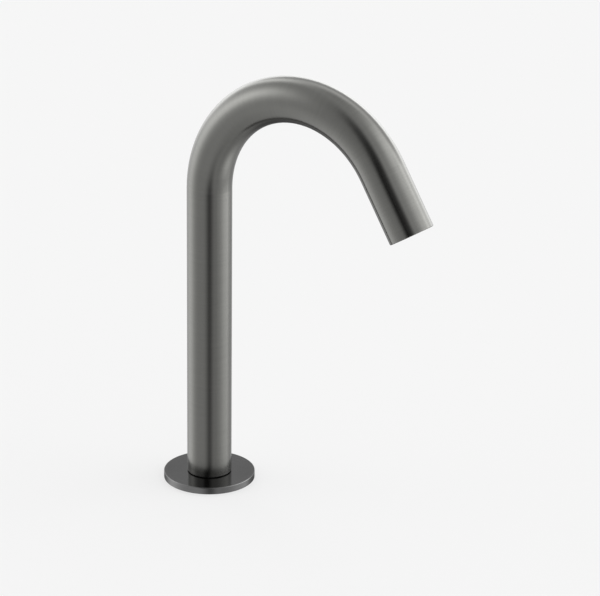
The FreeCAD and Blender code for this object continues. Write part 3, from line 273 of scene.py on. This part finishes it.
# ---------------------------------------------------------------- materials
def new_material(name, colour, rough, metal=0.0):
    """A material with plain values, its node tree and its shader."""
    material = bpy.data.materials.new(name)
    material.use_nodes = True
    surface = material.node_tree.nodes["Principled BSDF"]
    surface.inputs["Base Color"].default_value = colour
    surface.inputs["Roughness"].default_value = rough
    surface.inputs["Metallic"].default_value = metal
    return material, Tree(material.node_tree), surface


def millimetres(tree):
    """The place on the piece, in the CAD's millimetres."""
    place = tree.add("ShaderNodeTexCoord").outputs["Object"]
    return tree.vector("MULTIPLY", place, (MM_PER_METRE, MM_PER_METRE, MM_PER_METRE))


def round_column(tree):
    """Coordinates round the column's axis: x, y, height and radius."""
    x, y, z = tree.split(millimetres(tree))
    square = tree.math("MULTIPLY_ADD", x, x, tree.math("MULTIPLY", y, y))
    return x, y, z, tree.math("SQRT", square)


def along_tube(tree):
    """Coordinates that follow the bent tube: across, sideways and along it, and its turn."""
    x, y, z = tree.split(millimetres(tree))
    inward = tree.math("SUBTRACT", BEND_RADIUS, x)
    rise = tree.math("SUBTRACT", z, BEND_START)
    # The angle is taken from the bend's middle, so that it has no jump near the tube.
    middle = BEND_ANGLE / 2
    ahead = tree.math("ADD", tree.math("MULTIPLY", inward, math.cos(middle)),
                      tree.math("MULTIPLY", rise, math.sin(middle)))
    beside = tree.math("SUBTRACT", tree.math("MULTIPLY", rise, math.cos(middle)),
                       tree.math("MULTIPLY", inward, math.sin(middle)))
    turn = tree.math("ADD", tree.math("ARCTAN2", beside, ahead), middle)
    turn = tree.math("MINIMUM", tree.math("MAXIMUM", turn, 0.0), BEND_ANGLE)
    cosine = tree.math("COSINE", turn)
    sine = tree.math("SINE", turn)
    outward = tree.math("MULTIPLY_ADD", inward, cosine, tree.math("MULTIPLY", rise, sine))
    past = tree.math("SUBTRACT", tree.math("MULTIPLY", rise, cosine),
                     tree.math("MULTIPLY", inward, sine))
    length = tree.math("MULTIPLY_ADD", turn, BEND_RADIUS, past)
    return tree.math("SUBTRACT", outward, BEND_RADIUS), y, length, turn


def bump(tree, surface, height, distance, strength):
    node = tree.add("ShaderNodeBump")
    node.inputs["Strength"].default_value = strength
    node.inputs["Distance"].default_value = distance
    tree.join(height, node.inputs["Height"])
    tree.join(node.outputs["Normal"], surface.inputs["Normal"])


def set_colour(tree, surface, amount, first, second):
    """Base colour that goes from first to second as the amount goes from 0 to 1."""
    tree.join(tree.mix_colours(amount, first, second), surface.inputs["Base Color"])


def set_roughness(tree, surface, pattern, swing, base):
    """Roughness that goes from base to base + swing as the pattern goes from 0 to 1."""
    tree.join(tree.math("MULTIPLY_ADD", pattern, swing, base), surface.inputs["Roughness"])


def flange_lines(tree):
    """Where a point lies between the turned lines, and the direction across them."""
    x, y, z, radius = round_column(tree)
    turn = tree.math("ARCTAN2", y, x)
    lines = tree.pack(tree.math("MULTIPLY", radius, BRUSH_DENSITY),
                      tree.math("MULTIPLY", z, BRUSH_DENSITY), turn)
    return lines, tree.pack(x, y, 0.0)


def tube_lines(tree):
    """Where a point lies between the brush lines, and the direction across them."""
    across, sideways, length, turn = along_tube(tree)
    lines = tree.pack(tree.math("MULTIPLY", across, BRUSH_STRETCH),
                      tree.math("MULTIPLY", sideways, BRUSH_STRETCH),
                      tree.math("MULTIPLY", length, BRUSH_DENSITY))
    return lines, tree.pack(tree.math("SINE", turn), 0.0, tree.math("COSINE", turn))


def gunmetal(name, line_pattern, coat):
    """Dark grey coated metal with fine brush lines that run round the tube or the flange."""
    dark, pale = (shade(coat.tint, level) for level in BRUSH_LEVELS)
    material, tree, surface = new_material(name, COAT_COLOUR, COAT_ROUGHNESS, metal=1.0)
    surface.inputs["Specular Tint"].default_value = grey(coat.edge_tint)
    surface.inputs["Anisotropic"].default_value = coat.anisotropy
    lines, across_lines = line_pattern(tree)
    grain = tree.add("ShaderNodeVectorTransform", vector_type="VECTOR",
                     convert_from="OBJECT", convert_to="WORLD")
    tree.join(across_lines, grain.inputs[0])
    tree.join(tree.vector("NORMALIZE", grain.outputs[0]), surface.inputs["Tangent"])
    strokes = tree.noise(lines, scale=1.0, detail=4.0, rough=0.6)
    clouds = tree.noise(millimetres(tree), scale=0.05, detail=2.0)
    set_colour(tree, surface, tree.spread(strokes, low=0.3, high=0.7), dark, pale)
    brushed = tree.math("MULTIPLY_ADD", strokes, BRUSH_ROUGHNESS, coat.rough)
    set_roughness(tree, surface, clouds, swing=CLOUD_ROUGHNESS, base=brushed)
    bump(tree, surface, strokes, BRUSH_DEPTH, strength=0.3)
    return material


def moulded(name, tint, rough, grain=0.6):
    """Moulded plastic or rubber with a fine grain and soft broad stains."""
    material, tree, surface = new_material(name, shade(tint), rough)
    place = millimetres(tree)
    fine = tree.noise(place, scale=4.0, detail=3.0)
    broad = tree.noise(place, scale=0.25, detail=2.0)
    stains = tree.spread(broad, low=0.3, high=0.7)
    set_colour(tree, surface, stains, shade(tint, 0.8), shade(tint))
    set_roughness(tree, surface, fine, swing=0.15, base=rough - 0.07)
    bump(tree, surface, fine, GRAIN_DEPTH, strength=grain)
    return material


def ribbed_skin(name, tint, rough):
    """Hose skin with close ribs round it, painted shade in the hollows between the ribs, and a
    fine weave between them.
    """
    material, tree, surface = new_material(name, shade(tint), rough)
    length = along_tube(tree)[2]
    turn = tree.math("MULTIPLY", length, 2.0 * math.pi / RIB_PITCH)
    rib = tree.math("MULTIPLY_ADD", tree.math("SINE", turn), 0.5, 0.5)
    weave = tree.noise(millimetres(tree), scale=3.0, detail=3.0)
    dust = tree.noise(millimetres(tree), scale=0.2, detail=3.0)
    # Painted shade: the colour falls to 0.45 of the tint in the hollows between the ribs, where
    # shade would lie.
    skin_with_painted_shade = tree.mix_colours(tree.spread(rib, low=0.05, high=0.6), shade(tint, 0.45), shade(tint))
    worn = tree.math("MULTIPLY", tree.spread(dust, low=0.45, high=0.75), 0.6)
    set_colour(tree, surface, worn, skin_with_painted_shade, shade(tint, 1.25))
    set_roughness(tree, surface, weave, swing=0.2, base=rough - 0.1)
    relief = tree.math("MULTIPLY_ADD", weave, 0.15, rib)
    bump(tree, surface, relief, RIB_DEPTH, strength=0.8)
    return material


def laminate(name, tint, rough):
    """Green board with paler copper tracks under the lacquer."""
    material, tree, surface = new_material(name, shade(tint), rough)
    y = tree.split(millimetres(tree))[1]
    bend = tree.math("MULTIPLY", tree.noise(millimetres(tree), scale=0.8, detail=1.0), 4.0)
    wave = tree.math("SINE", tree.math("MULTIPLY_ADD", y, 2.0 * math.pi / TRACK_PITCH, bend))
    tracks = tree.spread(wave, low=0.3, high=0.5)
    set_colour(tree, surface, tracks, shade(tint), shade(TRACK_COLOUR))
    fine = tree.noise(millimetres(tree), scale=5.0, detail=2.0)
    set_roughness(tree, surface, fine, swing=0.15, base=rough - 0.07)
    bump(tree, surface, tracks, TRACK_DEPTH, strength=0.6)
    return material


def turned_metal(name, tint, rough):
    """Bare metal with turning lines round the column's axis and darker stains."""
    material, tree, surface = new_material(name, shade(tint), rough, metal=1.0)
    x, y, z, radius = round_column(tree)
    place = tree.pack(tree.math("MULTIPLY", radius, TURNING_DENSITY), 0.0,
                      tree.math("MULTIPLY", z, TURNING_DENSITY))
    rings = tree.noise(place, scale=1.0, detail=3.0)
    stain = tree.noise(millimetres(tree), scale=0.3, detail=4.0)
    stains = tree.spread(stain, low=0.35, high=0.75)
    set_colour(tree, surface, stains, shade(tint), shade(tint, 0.72))
    set_roughness(tree, surface, rings, swing=0.2, base=rough - 0.1)
    bump(tree, surface, rings, GRAIN_DEPTH, strength=0.5)
    return material


# Each of the record's material slots: the kind of finish, its colour and its roughness,
# and for some the strength of the grain.
FINISHES = {
    "machined_brass": (turned_metal, (0.72, 0.53, 0.28), 0.3),
    "spring_steel": (turned_metal, (0.6, 0.6, 0.6), 0.3),
    "ferrule_steel": (turned_metal, (0.64, 0.64, 0.63), 0.28),
    "dark_screw_steel": (turned_metal, (0.1, 0.1, 0.105), 0.4),
    "bearing_plastic": (moulded, (0.05, 0.05, 0.053), 0.45),
    "holder_plastic": (moulded, (0.02, 0.02, 0.022), 0.5),
    "aerator_plastic": (moulded, (0.09, 0.09, 0.095), 0.4),
    "straightener_plastic": (moulded, (0.5, 0.51, 0.53), 0.4),
    "insert_plastic": (moulded, (0.75, 0.75, 0.73), 0.4),
    "screen_plastic": (moulded, (0.8, 0.8, 0.78), 0.45),
    "capsule_plastic": (moulded, (0.04, 0.04, 0.045), 0.4),
    "window_plastic": (moulded, (0.012, 0.01, 0.016), 0.12, 0.1),
    "diode_clear": (moulded, (0.7, 0.73, 0.8), 0.1, 0.1),
    "diode_dark": (moulded, (0.02, 0.02, 0.03), 0.12, 0.1),
    "board_laminate": (laminate, (0.03, 0.17, 0.08), 0.4),
    "plug_plastic": (moulded, (0.06, 0.06, 0.063), 0.45),
    "soft_rubber": (moulded, (0.03, 0.03, 0.03), 0.7),
    "seal_rubber": (moulded, (0.025, 0.025, 0.027), 0.5),
    "hose_skin": (ribbed_skin, (0.1, 0.11, 0.13), 0.5),
    "cable_sheath": (moulded, (0.045, 0.045, 0.048), 0.5),
}
BY_SLOT = {slot: make(slot, *values) for slot, (make, *values) in FINISHES.items()}
# The two coated pieces share a slot, but their lines run differently.
BY_NODE = {
    "spout_tube": gunmetal("gunmetal", tube_lines, TUBE_COAT),
    "base_flange": gunmetal("gunmetal_turned", flange_lines, FLANGE_COAT),
}

for name, node in nodes.items():
    for slot in node.material_slots:
        if name in BY_NODE:
            slot.material = BY_NODE[name]
        else:
            slot.material = BY_SLOT[slot.material.name.split(".")[0]]

light_studio()
place_camera()
lay_floor()
bpy.context.scene.view_settings.view_transform = "Standard"
